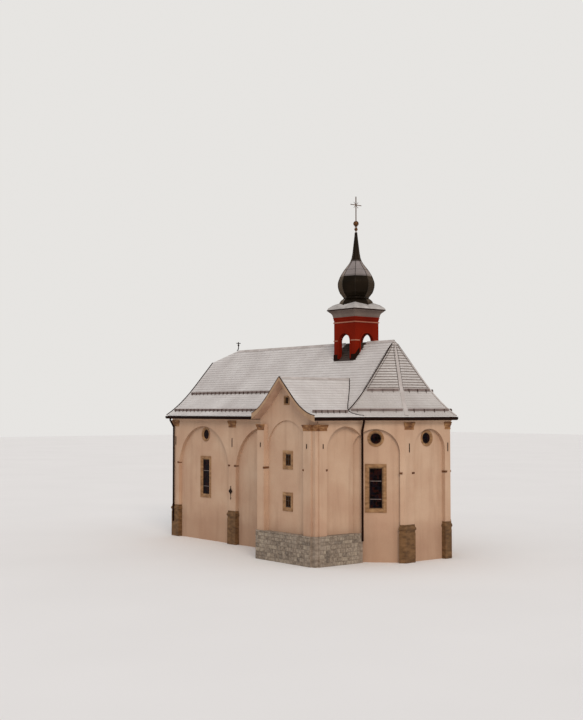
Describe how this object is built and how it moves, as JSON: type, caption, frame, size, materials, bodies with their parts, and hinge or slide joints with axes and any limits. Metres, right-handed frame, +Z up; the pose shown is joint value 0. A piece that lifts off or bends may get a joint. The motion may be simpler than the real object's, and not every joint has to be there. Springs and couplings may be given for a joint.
{
  "type": "small chapel",
  "caption": "Small plastered chapel with a polygonal apse, a gabled sacristy wing, blind arches, a bell-cast shingle roof and a red ridge belfry under an onion dome.",
  "frame": {"origin": "middle of the plan's bounding box, on the lowest ground that the walls reach", "axes": "+Z up, +X east along the nave towards the apse, +Y north, away from the sacristy"},
  "size_m": [19.165, 10.815, 19.71],
  "materials": {
    "plaster": "matte lime plaster",
    "dressed_stone": "matte weathered stone",
    "rubble": "rough rubble",
    "shingles": "weathered shingles",
    "sheet_metal": "dark brown paint",
    "dome_metal": "dark satin metal",
    "iron": "rusted iron",
    "glass": "dark leaded glass",
    "timber": "oiled timber",
    "red_paint": "matte red paint",
    "light_trim": "matte moulded plaster",
    "grey_trim": "grey paint",
    "gilding": "weathered gilding"
  },
  "bodies": {
    "root": {"nave_south_wall": "plaster", "nave_north_wall": "plaster", "west_gable_wall": "plaster", "apse_southeast_wall": "plaster", "apse_east_wall": "plaster", "apse_northeast_wall": "plaster", "sacristy_gable_wall": "plaster", "sacristy_west_wall": "plaster", "sacristy_east_wall": "plaster", "ground_floors": "dressed_stone", "pilaster_pedestals": "dressed_stone", "pilaster_capitals": "dressed_stone", "impost_blocks": "dressed_stone", "window_surrounds": "dressed_stone", "oculus_surrounds": "dressed_stone", "sacristy_window_surrounds": "dressed_stone", "door_surround": "dressed_stone", "sacristy_footing": "rubble", "nave_roof_south": "shingles", "nave_roof_north": "shingles", "half_hip": "shingles", "apse_roof": "shingles", "sacristy_roof": "shingles", "roof_caps": "shingles", "gutters": "sheet_metal", "downpipes": "sheet_metal", "belfry_flashing": "sheet_metal", "onion_dome": "dome_metal", "wall_anchors": "iron", "iron_bracket": "iron", "snow_guards": "iron", "ridge_finial": "iron", "window_glass": "glass", "oculus_glass": "glass", "sacristy_window_glass": "glass", "sacristy_upper_floor": "timber", "west_door": "timber", "verge_boards": "timber", "verge_soffit": "timber", "belfry_walls": "red_paint", "eaves_cornice": "light_trim", "belfry_mouldings": "light_trim", "belfry_cornice": "grey_trim", "belfry_skirt_roof": "grey_trim", "spire_balls": "gilding", "spire_cross": "gilding"}
  },
  "joints": []
}
